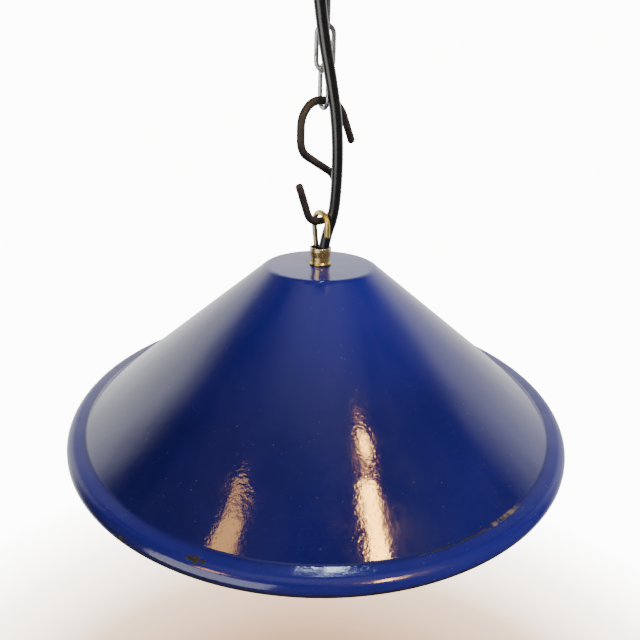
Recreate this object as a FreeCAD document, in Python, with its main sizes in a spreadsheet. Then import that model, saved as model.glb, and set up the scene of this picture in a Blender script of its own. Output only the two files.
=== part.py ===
"""Enamelled cone pendant lamp on an S-hook and chain, in millimetres.

Z = 0 is the ceiling, +Z is up, and the shade's axis is X = Y = 0. Everything hangs down from the
ceiling bracket, so each height is worked out from the piece above it.
"""

import FreeCAD, Part

import math
import os

import Sketcher

V = FreeCAD.Vector
Z_AXIS = V(0, 0, 1)
PARTS = "parts"

# Driving dimensions: cell alias, value in mm, note.
CELLS = [
    ("rim_radius", 175.0, "shade, outer edge of the brim"),
    ("shade_height", 108.6, "shade, cut edge up to the flat top"),
    ("flat_radius", 37.5, "shade, flat top out to the corner of the cone"),
    ("brim_width", 12.5, "shade, crease between cone and brim, in from the outer edge"),
    ("brim_rise", 7.0, "shade, crease above the cut edge"),
    ("sheet_wall", 1.2, "shade, steel and enamel together"),
    ("shoulder_bend", 8.0, "shade, outer radius round the flat top"),
    ("crease_bend", 2.5, "shade, radius in the crease"),
    ("roll_bend", 6.0, "shade, outer radius of the rolled brim"),
    ("nipple_radius", 5.0, "threaded nipple, M10 x 1"),
    ("nipple_bore", 4.1, "threaded nipple, radius of its wire way"),
    ("nipple_length", 28.0, "threaded nipple"),
    ("nipple_up", 5.5, "threaded nipple, how far it stands into the ferrule"),
    ("thread_gap", 0.05, "radial gap in every screwed joint"),
    ("sheet_gap", 0.2, "radial gap round what passes through the shade"),
    ("ferrule_height", 12.4, "brass ferrule"),
    ("ferrule_foot", 7.35, "brass ferrule, radius of its foot"),
    ("ferrule_waist", 6.6, "brass ferrule, radius of its waist"),
    ("ferrule_head", 7.3, "brass ferrule, radius of its head"),
    ("ferrule_mouth", 6.6, "brass ferrule, radius of its open mouth"),
    ("ferrule_floor", 6.5, "brass ferrule, height of the threaded part"),
    ("loop_rod", 3.5, "brass hook, rod diameter"),
    ("loop_half", 8.9, "brass hook, half width of its loop at the rod's centre"),
    ("loop_rise", 23.5, "brass hook, top of the loop above the ferrule's mouth"),
    ("loop_shank", 6.0, "brass hook, shank from the loop's middle"),
    ("loop_tip", 15.1, "brass hook, tip below the loop's top"),
    ("loop_slack", 1.45, "gap over the iron rod inside the brass loop"),
    ("iron_rod", 5.0, "iron S-hook, rod diameter"),
    ("iron_drop", 74.0, "iron S-hook, upper bow to lower bow at the rod's centre"),
    ("iron_left", 19.5, "iron S-hook, upper bow's closed side"),
    ("iron_right", 14.0, "iron S-hook, upper bow's open side"),
    ("iron_flare", 14.0, "iron S-hook, upper end out from the open side"),
    ("iron_reach", 25.4, "iron S-hook, upper end below the bow"),
    ("iron_side", 29.6, "iron S-hook, closed side down to the slant"),
    ("iron_slant", 45.9, "iron S-hook, lower corner of the slant"),
    ("iron_heel", 13.5, "iron S-hook, lower bow's closed side"),
    ("iron_toe", 10.4, "iron S-hook, lower bow's open side"),
    ("iron_tail", 10.6, "iron S-hook, lower end out from the open side"),
    ("iron_lift", 25.1, "iron S-hook, lower end above the bow"),
    ("link_wire", 2.9, "chain link, wire diameter"),
    ("link_length", 27.2, "chain link, outside"),
    ("link_width", 13.0, "chain link, outside"),
    ("bearing_gap", 0.4, "gap where one hanging piece bears on the next"),
    ("hook_rod", 4.5, "ceiling hook, rod diameter"),
    ("hook_half", 9.0, "ceiling hook, half width of its bow at the rod's centre"),
    ("hook_drop", 46.35, "ceiling hook, bow's rod centre below the ceiling"),
    ("hook_lip", 13.0, "ceiling hook, open end above the bow"),
    ("hook_crank", 20.0, "ceiling hook, where it bends back to the middle"),
    ("hook_thread", 2.5, "ceiling hook, thread radius, M5"),
    ("strap_wall", 2.5, "ceiling bracket, strap thickness"),
    ("strap_width", 24.0, "ceiling bracket, strap width"),
    ("strap_hole", 2.6, "ceiling bracket, radius of the holes for ceiling screws"),
    ("strap_pitch", 60.0, "ceiling bracket, between those holes"),
    ("ear_depth", 16.0, "ceiling bracket, ears that hold the canopy"),
    ("ear_gap", 1.5, "ceiling bracket, ears inside the canopy wall"),
    ("canopy_radius", 60.0, "canopy, outside"),
    ("canopy_height", 52.0, "canopy"),
    ("canopy_mouth", 30.0, "canopy, radius of its open mouth"),
    ("canopy_wall", 1.0, "canopy, sheet thickness"),
    ("canopy_bend", 24.0, "canopy, outer radius of its corner"),
    ("side_screw", 2.0, "canopy screw, thread radius, M4"),
    ("side_drop", 11.0, "canopy screw, below the ceiling"),
    ("knob_radius", 4.5, "canopy screw, knurled head"),
    ("knob_depth", 4.0, "canopy screw, knurled head"),
    ("cord_radius", 3.6, "flex, outside of the sheath"),
    ("grip_gap", 0.05, "flex, gap in its cord grip"),
    ("grip_wall", 2.6, "cord grip, wall"),
    ("grip_height", 9.0, "cord grip"),
    ("block_height", 11.5, "terminal block under the strap"),
    ("block_length", 26.0, "terminal block"),
    ("block_width", 15.0, "terminal block"),
    ("washer_radius", 14.0, "washer under the flat top"),
    ("washer_wall", 1.5, "washer under the flat top"),
    ("nut_flats", 14.0, "lock nut, across flats"),
    ("nut_height", 4.0, "lock nut"),
    ("cap_radius", 22.5, "lampholder cap, outside"),
    ("cap_neck", 10.0, "lampholder cap, outside at its top"),
    ("cap_height", 27.0, "lampholder cap"),
    ("china_wall", 4.0, "lampholder, porcelain wall"),
    ("body_height", 38.0, "lampholder body"),
    ("base_height", 10.0, "contact base inside the lampholder body"),
    ("shell_bore", 13.3, "screw shell, bore radius, E27"),
    ("shell_wall", 0.5, "screw shell"),
    ("shell_height", 22.0, "screw shell"),
    ("shell_drop", 5.0, "screw shell, below the contact base"),
    ("tongue_width", 5.0, "centre contact, leaf width"),
    ("tongue_wall", 0.5, "centre contact, leaf thickness"),
    ("tongue_reach", 12.0, "centre contact, root to tip"),
    ("tongue_drop", 2.4, "centre contact, gap above the leaf"),
    ("pillar_size", 6.0, "wire terminal, square pillar"),
    ("core_radius", 1.0, "one insulated core of the flex"),
]

# The flex's route from inside the ferrule to its grip, as corners that its arcs round off.
FLEX_ROUTE = [
    (1.3, -1.0, -222.2),
    (3.3, -2.1, -210.0),
    (7.9, -4.0, -195.0),
    (9.2, -6.0, -178.0),
    (9.4, -7.9, -157.5),
    (8.0, -9.3, -135.5),
    (4.0, -10.4, -114.0),
    (-0.2, -11.0, -95.0),
    (-3.6, -11.6, -74.0),
    (-6.1, -13.0, -53.0),
    (-6.5, -14.5, -32.0),
    (-6.5, -14.5, -14.2),
]
GRIP_PLACE = (-6.5, -14.5)

# Turn of each hanging piece about Z, in degrees from the XZ plane.
LOOP_TURN = -61.7
IRON_TURN = 46.0
LINK_TURNS = {1: -62.0, 2: 0.0, 3: -75.0, 4: 15.0}
HOOK_TURN = 105.0
LOOP_CENTRE = (-0.25, -2.1)


class Size:
    """A number that carries its formula, so one expression places geometry and binds it to the sheet."""

    def __init__(self, value, text):
        self.value, self.text = float(value), text

    def _join(self, other, sign, result):
        return Size(result, f"({self.text} {sign} {size(other).text})")

    def __add__(self, other):
        return self._join(other, "+", self.value + size(other).value)

    def __sub__(self, other):
        return self._join(other, "-", self.value - size(other).value)

    def __mul__(self, other):
        return self._join(other, "*", self.value * size(other).value)

    def __truediv__(self, other):
        return self._join(other, "/", self.value / size(other).value)

    def __rsub__(self, other):
        return size(other) - self

    def __neg__(self):
        return Size(-self.value, f"(-1 * {self.text})")

    __radd__, __rmul__ = __add__, __mul__


def size(number):
    """A plain number as a Size. A Size comes back as it is."""
    return number if isinstance(number, Size) else Size(number, f"({number})")


def lesser(first, second):
    """The smaller of two sizes, for a bend that the wall beside it limits."""
    first, second = size(first), size(second)
    return Size(min(first.value, second.value), f"min({first.text}; {second.text})")


def half_turn(rise, run):
    """Tangent of half the angle of a slope."""
    value = math.tan(math.atan(rise.value / run.value) / 2)
    return Size(value, f"tan(atan({rise.text} / {run.text}) / 2)")


doc = FreeCAD.newDocument("pendant_lamp")
sheet = doc.addObject("Spreadsheet::Sheet", "dims")


class Dims:
    """The sheet's cells by name."""


for row, (alias, number, note) in enumerate(CELLS, start=1):
    sheet.set(f"A{row}", str(number))
    sheet.setAlias(f"A{row}", alias)
    sheet.set(f"B{row}", note)
    setattr(Dims, alias, Size(number, f"dims.{alias}"))
doc.recompute()
D = Dims
nodes = {}


# ---------------------------------------------------------------- helpers


def keep(name, thing):
    """Takes a finished object as the node of that name."""
    thing.Label = name
    nodes[name] = thing
    return thing


def bind(thing, **sizes):
    """Sets properties and binds them to the sheet. An underscore stands for a dot."""
    for name, number in sizes.items():
        thing.setExpression(name.replace("_", "."), size(number).text)
    return thing


def place(thing, x=0, y=0, z=0, turn=0, tilt=None):
    """Puts a thing at x, y, z, turned about Z by degrees, or tilted by an axis and degrees."""
    spin = FreeCAD.Rotation(tilt[0], tilt[1]) if tilt else FreeCAD.Rotation(Z_AXIS, turn)
    spot = [size(number) for number in (x, y, z)]
    thing.Placement = FreeCAD.Placement(V(*[number.value for number in spot]), spin)
    for axis, number in zip("xyz", spot):
        thing.setExpression(f"Placement.Base.{axis}", number.text)
    return thing


def new_body(name):
    return doc.addObject("PartDesign::Body", name)


def sketch_on(body, role, label="outline"):
    """A sketch on one of the body's own origin planes."""
    sketch = body.newObject("Sketcher::SketchObject", label)
    face = next(f for f in body.Origin.OriginFeatures if f.Role == role)
    sketch.AttachmentSupport = (face, [""])
    sketch.MapMode = "FlatFace"
    return sketch


def pin(sketch, item, end, across, up):
    """Holds one end of a sketch's item at a place measured from the origin."""
    for kind, number in (("DistanceX", size(across)), ("DistanceY", size(up))):
        index = sketch.addConstraint(Sketcher.Constraint(kind, -1, 1, item, end, number.value))
        sketch.setExpression(f"Constraints[{index}]", number.text)


def draw_closed(sketch, corners):
    """A closed outline of straight sides between corners that are all pinned."""
    points = [V(size(x).value, size(y).value, 0) for x, y in corners]
    sides = [
        sketch.addGeometry(Part.LineSegment(a, b), False)
        for a, b in zip(points, points[1:] + points[:1])
    ]
    for side, following in zip(sides, sides[1:] + sides[:1]):
        sketch.addConstraint(Sketcher.Constraint("Coincident", side, 2, following, 1))
    for side, (x, y) in zip(sides, corners):
        pin(sketch, side, 1, x, y)


def lathe(name, corners, bends=()):
    """A body turned about Z from its outline. bends lists (radius, height, fillet) for its rounded rings."""
    body = new_body(name)
    sketch = sketch_on(body, "XZ_Plane")
    draw_closed(sketch, corners)
    turned = body.newObject("PartDesign::Revolution", "turned")
    turned.Profile = sketch
    turned.ReferenceAxis = (sketch, ["V_Axis"])
    turned.Angle = 360
    doc.recompute()
    for radius, height, fillet in bends:
        round_ring(body, size(radius), size(height), size(fillet))
    return body


def round_ring(body, radius, height, fillet):
    """Rounds the one circular edge of that radius and height."""
    base = body.Tip
    found = [
        f"Edge{number}"
        for number, edge in enumerate(base.Shape.Edges, start=1)
        if isinstance(edge.Curve, Part.Circle)
        and abs(edge.Curve.Radius - radius.value) < 1e-3
        and abs(edge.Curve.Center.z - height.value) < 1e-3
    ]
    if not found:
        raise RuntimeError(f"{body.Name} has no ring at radius {radius.value}, height {height.value}")
    feature = body.newObject("PartDesign::Fillet", "bend")
    feature.Base = (base, found)
    bind(feature, Radius=fillet)
    doc.recompute()


def draw_route(sketch, corners, bends):
    """An open line through pinned corners, each rounded by a tangent arc. Returns the number of edges."""
    spots = [V(size(x).value, size(y).value, 0) for x, y in corners]
    lines, arcs = [], []
    start = spots[0]
    for before, spot, after, bend in zip(spots, spots[1:], spots[2:], bends):
        back, on = (before - spot).normalize(), (after - spot).normalize()
        half = back.getAngle(on) / 2
        run = size(bend).value / math.tan(half)
        centre = spot + (back + on).normalize() * (size(bend).value / math.sin(half))
        first, last = spot + back * run, spot + on * run
        left = back.cross(on).z < 0
        ends = (first, last) if left else (last, first)
        angles = [math.atan2(p.y - centre.y, p.x - centre.x) for p in ends]
        circle = Part.Circle(centre, Z_AXIS, size(bend).value)
        lines.append(sketch.addGeometry(Part.LineSegment(start, first), False))
        arcs.append((sketch.addGeometry(Part.ArcOfCircle(circle, *angles), False), left))
        start = last
    lines.append(sketch.addGeometry(Part.LineSegment(start, spots[-1]), False))
    pin(sketch, lines[0], 1, *corners[0])
    pin(sketch, lines[-1], 2, *corners[-1])
    for number, (arc, left) in enumerate(arcs):
        enter, leave = (1, 2) if left else (2, 1)
        corner = sketch.addGeometry(Part.Point(spots[number + 1]), True)
        pin(sketch, corner, 1, *corners[number + 1])
        for line in (lines[number], lines[number + 1]):
            sketch.addConstraint(Sketcher.Constraint("PointOnObject", corner, 1, line))
        sketch.addConstraint(Sketcher.Constraint("Tangent", lines[number], 2, arc, enter))
        sketch.addConstraint(Sketcher.Constraint("Tangent", arc, leave, lines[number + 1], 1))
        radius = size(bends[number])
        index = sketch.addConstraint(Sketcher.Constraint("Radius", arc, radius.value))
        sketch.setExpression(f"Constraints[{index}]", radius.text)
    return len(lines) + len(arcs)


def sweep_rod(body, route, edges, diameter):
    """A round rod along a sketched route, whose section stands square on the route's first edge."""
    doc.recompute()
    section = body.newObject("Sketcher::SketchObject", "section")
    section.AttachmentSupport = [(route, "Edge1")]
    section.MapMode = "NormalToEdge"
    section.MapPathParameter = 0
    section.addGeometry(Part.Circle(V(0, 0, 0), Z_AXIS, diameter.value / 2), False)
    section.addConstraint(Sketcher.Constraint("Coincident", 0, 3, -1, 1))
    index = section.addConstraint(Sketcher.Constraint("Radius", 0, diameter.value / 2))
    section.setExpression(f"Constraints[{index}]", (diameter / 2).text)
    doc.recompute()
    rod = body.newObject("PartDesign::AdditivePipe", "rod")
    rod.Profile = section
    rod.Spine = (route, [f"Edge{number + 1}" for number in range(edges)])
    doc.recompute()
    return rod


def bent_rod(name, corners, bends, diameter):
    """A rod bent in the body's XZ plane."""
    body = new_body(name)
    route = sketch_on(body, "XZ_Plane", "route")
    edges = draw_route(route, corners, bends)
    sweep_rod(body, route, edges, diameter)
    return body


def cylinder(radius, height, x=0, y=0, z=0, tilt=None):
    thing = doc.addObject("Part::Cylinder", "round")
    bind(thing, Radius=radius, Height=height)
    return place(thing, x, y, z, tilt=tilt)


def box(length, width, height, x, y, z):
    """A block centred on x and y, standing on z."""
    thing = doc.addObject("Part::Box", "block")
    bind(thing, Length=length, Width=width, Height=height)
    return place(thing, size(x) - size(length) / 2, size(y) - size(width) / 2, z)


def fuse(*things):
    whole = doc.addObject("Part::MultiFuse", "whole")
    whole.Shapes = list(things)
    return whole


def cut(base, *tools):
    """The base with every tool taken out of it."""
    result = doc.addObject("Part::Cut", "cut")
    result.Base = base
    result.Tool = tools[0] if len(tools) == 1 else fuse(*tools)
    return result


def hexagon(flats, height, z):
    """A hexagonal prism on Z."""
    thing = doc.addObject("Part::Prism", "hexagon")
    thing.Polygon = 6
    bind(thing, Circumradius=flats / 2 / math.cos(math.pi / 6), Height=height)
    return place(thing, z=z)


def rounded_path(points, radii=None):
    """Straight runs joined by tangent arcs. Returns the wire and the radii.

    An arc's radius is 0.45 of the shorter run over the tangent of half the turn, unless radii gives it.
    """
    points = [V(*p) for p in points]
    edges, used, start = [], [], points[0]
    for number, (before, spot, after) in enumerate(zip(points, points[1:], points[2:])):
        back, on = before - spot, after - spot
        shorter = min(back.Length, on.Length)
        back, on = V(back).normalize(), V(on).normalize()
        half_bend = (math.pi - back.getAngle(on)) / 2
        run = radii[number] * math.tan(half_bend) if radii else 0.45 * shorter
        radius = run / math.tan(half_bend)
        middle = spot + (back + on).normalize() * (radius / math.cos(half_bend) - radius)
        edges.append(Part.LineSegment(start, spot + back * run).toShape())
        edges.append(Part.Arc(spot + back * run, middle, spot + on * run).toShape())
        used.append(radius)
        start = spot + on * run
    edges.append(Part.LineSegment(start, points[-1]).toShape())
    return Part.Wire(edges), used


def tube_along(name, points, radius, radii=None):
    """A Part::Feature with a round section along a rounded path. Prints its radii, checks its volume."""
    wire, used = rounded_path(points, radii)
    ahead = V(*points[1]) - V(*points[0])
    circle = Part.Wire(Part.Circle(V(*points[0]), ahead, radius).toShape())
    feature = doc.addObject("Part::Feature", name)
    feature.Shape = wire.makePipeShell([circle], True, False)
    expected = math.pi * radius**2 * wire.Length
    share = feature.Shape.Volume / expected
    print(f"{name}: length {wire.Length:.1f}, radii {[round(r, 1) for r in used]}, volume share {share:.4f}")
    if abs(share - 1) > 0.01:
        raise RuntimeError(f"{name} isn't its section times its length")
    return keep(name, feature)


# ---------------------------------------------------------------- heights, from the ceiling down

hook_low = -D.hook_drop
link_span = D.link_length - D.link_wire  # between the centres of a link's two end wires
link_tops = {4: hook_low + D.hook_rod / 2 + D.bearing_gap + D.link_wire / 2}
for number in (3, 2, 1):
    link_tops[number] = link_tops[number + 1] - link_span + D.link_wire + D.bearing_gap
iron_top = link_tops[1] - link_span + D.link_wire / 2 + D.bearing_gap + D.iron_rod / 2
iron_low = iron_top - D.iron_drop
loop_top = iron_low + D.iron_rod / 2 + D.loop_slack + D.loop_rod / 2
mouth_top = loop_top - D.loop_rise
shade_top = mouth_top - D.ferrule_height


# ---------------------------------------------------------------- ceiling fitting


def make_bracket():
    """A strap with two ceiling screw holes, a threaded centre hole and a bent ear at each end."""
    half = D.canopy_radius - D.canopy_wall - D.ear_gap
    strap = box(half * 2, D.strap_width, D.strap_wall, 0, 0, -D.strap_wall)
    ears = [
        box(D.strap_wall, D.strap_width, D.ear_depth, side * (half - D.strap_wall / 2), 0, -D.ear_depth)
        for side in (-1, 1)
    ]
    through = D.strap_wall * 3
    holes = [
        cylinder(D.strap_hole, through, side * D.strap_pitch / 2, 0, -D.strap_wall * 2)
        for side in (-1, 1)
    ]
    holes.append(cylinder(D.hook_thread + D.thread_gap, through, 0, 0, -D.strap_wall * 2))
    side_hole = cylinder(
        D.side_screw + D.thread_gap, half * 3, half * -1.5, 0, -D.side_drop, tilt=(V(0, 1, 0), 90)
    )
    keep("ceiling_bracket", cut(fuse(strap, *ears), *holes, side_hole))


def make_ceiling_hook():
    """An open hook whose shank comes back to the middle and screws through the bracket."""
    lip = -D.hook_drop + D.hook_lip
    crank = -D.hook_drop + D.hook_crank
    neck = crank + 9
    corners = [
        (-D.hook_half, lip),
        (-D.hook_half, hook_low),
        (D.hook_half, hook_low),
        (D.hook_half, crank),
        (0, neck),
        (0, -D.strap_wall - D.nut_height),
    ]
    bend = D.hook_half - 0.5
    body = bent_rod("ceiling_hook_rod", corners, [bend, bend, 6, 6], D.hook_rod)
    place(body, turn=HOOK_TURN)
    thread = cylinder(D.hook_thread, D.strap_wall + D.nut_height - 0.3, z=-D.strap_wall - D.nut_height)
    keep("ceiling_hook", fuse(body, thread))
    nut = hexagon(size(8.0), D.nut_height, -D.strap_wall - D.nut_height)
    bore = cylinder(D.hook_thread + D.thread_gap, D.nut_height * 3, z=-D.nut_height * 2.5)
    keep("hook_nut", cut(nut, bore))


def make_canopy():
    """A pressed cup against the ceiling, open below for the chain and the flex, with two side holes."""
    inside = D.canopy_radius - D.canopy_wall
    floor = -D.canopy_height + D.canopy_wall
    corner = lesser(D.canopy_bend, (D.canopy_radius - D.canopy_mouth) * 0.9)
    corners = [
        (D.canopy_radius, 0),
        (D.canopy_radius, -D.canopy_height),
        (D.canopy_mouth, -D.canopy_height),
        (D.canopy_mouth, floor),
        (inside, floor),
        (inside, 0),
    ]
    bends = [
        (D.canopy_radius, -D.canopy_height, corner),
        (inside, floor, corner - D.canopy_wall),
    ]
    body = lathe("canopy_cup", corners, bends)
    sketch = sketch_on(body, "YZ_Plane", "side_holes")
    circle = sketch.addGeometry(Part.Circle(V(0, -D.side_drop.value, 0), Z_AXIS, 2), False)
    pin(sketch, circle, 3, 0, -D.side_drop)
    hole = D.side_screw + D.sheet_gap
    index = sketch.addConstraint(Sketcher.Constraint("Radius", circle, hole.value))
    sketch.setExpression(f"Constraints[{index}]", hole.text)
    pocket = body.newObject("PartDesign::Pocket", "side_hole")
    pocket.Profile = sketch
    pocket.Type = "ThroughAll"
    pocket.Midplane = True
    keep("canopy", body)


def make_canopy_screws():
    """Two knurled screws that hold the canopy to the bracket's ears."""
    screws = []
    for side in (-1, 1):
        tilt = (V(0, 1, 0), 90 * side)
        reach = D.canopy_wall + D.ear_gap + D.strap_wall + 1
        start = D.canopy_radius + D.sheet_gap - reach
        shank = cylinder(D.side_screw, reach, start * side, 0, -D.side_drop, tilt)
        head = cylinder(
            D.knob_radius, D.knob_depth, (D.canopy_radius + D.sheet_gap) * side, 0, -D.side_drop, tilt
        )
        screws.append(fuse(shank, head))
    keep("canopy_screws", fuse(*screws))


def make_terminal_block():
    """The connector block under the strap, its clamp screws, and the grip that holds the flex below it."""
    x, y = GRIP_PLACE
    under = -D.strap_wall - D.block_height
    block = box(D.block_length, D.block_width, D.block_height, x, y, under)
    wells = []
    screws = []
    for step in (-1, 0, 1):
        spot = x + step * 8.0
        front = y - D.block_width / 2
        along = (V(1, 0, 0), 90)
        wells.append(cylinder(size(1.8), size(5.0), spot, front + 4.0, under + 4.5, along))
        screws.append(cylinder(size(1.7), size(3.0), spot, front + 4.0, under + 4.5, along))
    keep("terminal_block", cut(block, *wells))
    keep("terminal_screws", fuse(*screws))
    grip = cylinder(D.cord_radius + D.grip_gap + D.grip_wall, D.grip_height, x, y, under - D.grip_height)
    way = cylinder(D.cord_radius + D.grip_gap, D.grip_height * 3, x, y, under - D.grip_height * 2)
    cheek = box(D.cord_radius * 5.6, size(5.0), D.grip_height - 3, x, y, under - D.grip_height + 1.5)
    keep("cord_grip", cut(fuse(grip, cheek), way))
    spots = [x + side * D.cord_radius * 2.2 for side in (-1, 1)]
    forward = (V(1, 0, 0), -90)
    pins = [cylinder(size(1.3), size(3.0), spot, y - 5.5, under - 4.5, forward) for spot in spots]
    keep("grip_screws", fuse(*pins))


# ---------------------------------------------------------------- chain and hooks


def make_link(number):
    """One welded oval link: a stirrup of wire, mirrored."""
    body = new_body(f"link_{number}_body")
    route = sketch_on(body, "XZ_Plane", "stirrup")
    half = (D.link_width - D.link_wire) / 2
    straight = link_span / 2 - half
    lines = [
        route.addGeometry(Part.LineSegment(V(-half.value, 0, 0), V(-half.value, straight.value, 0)), False),
        route.addGeometry(Part.LineSegment(V(half.value, straight.value, 0), V(half.value, 0, 0)), False),
    ]
    circle = Part.Circle(V(0, straight.value, 0), Z_AXIS, half.value)
    arc = route.addGeometry(Part.ArcOfCircle(circle, 0, math.pi), False)
    pin(route, lines[0], 1, -half, 0)
    pin(route, lines[0], 2, -half, straight)
    pin(route, lines[1], 2, half, 0)
    route.addConstraint(Sketcher.Constraint("Tangent", lines[0], 2, arc, 2))
    route.addConstraint(Sketcher.Constraint("Tangent", arc, 1, lines[1], 1))
    route.addConstraint(Sketcher.Constraint("Vertical", lines[1]))
    rod = sweep_rod(body, route, 3, D.link_wire)
    other = body.newObject("PartDesign::Mirrored", "other_half")
    other.Originals = [rod]
    other.MirrorPlane = (next(f for f in body.Origin.OriginFeatures if f.Role == "XY_Plane"), [""])
    body.Tip = other
    place(body, z=link_tops[number] - link_span / 2, turn=LINK_TURNS[number])
    keep(f"chain_link_{number}", body)


def make_iron_hook():
    """The S-hook, bent from rod with a wide open upper bow."""
    corners = [
        (D.iron_right + D.iron_flare, -D.iron_reach),
        (D.iron_right, 0),
        (-D.iron_left, 0),
        (-D.iron_left, -D.iron_side),
        (D.iron_heel, -D.iron_slant),
        (D.iron_heel - 2, -D.iron_drop),
        (-D.iron_toe, -D.iron_drop),
        (-D.iron_toe - D.iron_tail, D.iron_lift - D.iron_drop),
    ]
    body = bent_rod("s_hook_body", corners, [18, 16, 10, 12, 10.5, 10.5], D.iron_rod)
    keep("s_hook", place(body, z=iron_top, turn=IRON_TURN))


def make_brass_hook():
    """The brass loop that stands in the ferrule and hangs over the S-hook."""
    foot = D.ferrule_floor - D.ferrule_height - D.loop_rise  # below the loop's top
    corners = [
        (-D.loop_shank, foot),
        (-D.loop_shank, -D.loop_rise + 0.5),
        (-D.loop_half, -10),
        (-D.loop_half, 0),
        (D.loop_half, 0),
        (D.loop_half + 0.3, -D.loop_tip),
    ]
    bends = [15, 12, D.loop_half - 0.7, D.loop_half - 0.7]
    body = bent_rod("brass_hook_body", corners, bends, D.loop_rod)
    keep("brass_hook", place(body, *LOOP_CENTRE, loop_top, turn=LOOP_TURN))


# ---------------------------------------------------------------- shade and ferrule


def make_shade():
    """The enamelled steel cone with its flat top and rolled brim, one sheet throughout."""
    hole = D.nipple_radius + D.sheet_gap
    crease = D.brim_rise - D.shade_height
    brim = D.rim_radius - D.brim_width
    inset = D.sheet_wall * half_turn(D.shade_height - D.brim_rise, brim - D.flat_radius)
    inner = D.rim_radius - D.sheet_wall
    corners = [
        (hole, 0),
        (D.flat_radius, 0),
        (brim, crease),
        (D.rim_radius, crease),
        (D.rim_radius, -D.shade_height),
        (inner, -D.shade_height),
        (inner, crease - D.sheet_wall),
        (brim - inset, crease - D.sheet_wall),
        (D.flat_radius - inset, -D.sheet_wall),
        (hole, -D.sheet_wall),
    ]
    bends = [
        (D.flat_radius, 0, D.shoulder_bend),
        (D.flat_radius - inset, -D.sheet_wall, D.shoulder_bend - D.sheet_wall),
        (brim, crease, D.crease_bend),
        (brim - inset, crease - D.sheet_wall, D.crease_bend + D.sheet_wall),
        (D.rim_radius, crease, D.roll_bend),
        (inner, crease - D.sheet_wall, D.roll_bend - D.sheet_wall),
    ]
    keep("shade", place(lathe("shade_body", corners, bends), z=shade_top))


def make_ferrule():
    """The waisted brass ferrule: threaded below, an open mouth above."""
    thread = D.nipple_radius + D.thread_gap
    corners = [
        (thread, 0),
        (D.ferrule_foot, 0),
        (D.ferrule_foot, 1.2),
        (D.ferrule_waist, 2.2),
        (D.ferrule_waist, D.ferrule_floor - 0.5),
        (D.ferrule_head, D.ferrule_height - 2.6),
        (D.ferrule_head, D.ferrule_height - 0.5),
        (D.ferrule_head - 0.4, D.ferrule_height),
        (D.ferrule_mouth, D.ferrule_height),
        (D.ferrule_mouth, D.ferrule_height - 1.5),
        (D.ferrule_waist - 0.25, D.ferrule_floor),
        (thread, D.ferrule_floor),
    ]
    keep("ferrule", place(lathe("ferrule_body", corners), z=shade_top))


def make_nipple():
    """The threaded tube that carries the lampholder, the shade and the ferrule."""
    corners = [
        (D.nipple_bore, D.nipple_up),
        (D.nipple_radius - 0.3, D.nipple_up),
        (D.nipple_radius, D.nipple_up - 0.3),
        (D.nipple_radius, D.nipple_up - D.nipple_length + 0.3),
        (D.nipple_radius - 0.3, D.nipple_up - D.nipple_length),
        (D.nipple_bore, D.nipple_up - D.nipple_length),
    ]
    keep("nipple", place(lathe("nipple_body", corners), z=shade_top))


def make_fastening():
    """The washer and lock nut that clamp the flat top down on the ferrule."""
    under = shade_top - D.sheet_wall - D.washer_wall
    hole = D.nipple_radius + D.thread_gap
    washer = cylinder(D.washer_radius, D.washer_wall, z=under)
    keep("shade_washer", cut(washer, cylinder(hole, D.washer_wall * 3, z=under - D.washer_wall)))
    nut = hexagon(D.nut_flats, D.nut_height, under - D.nut_height)
    keep("lock_nut", cut(nut, cylinder(hole, D.nut_height * 3, z=under - D.nut_height * 2)))
    return under - D.nut_height


# ---------------------------------------------------------------- lampholder


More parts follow.
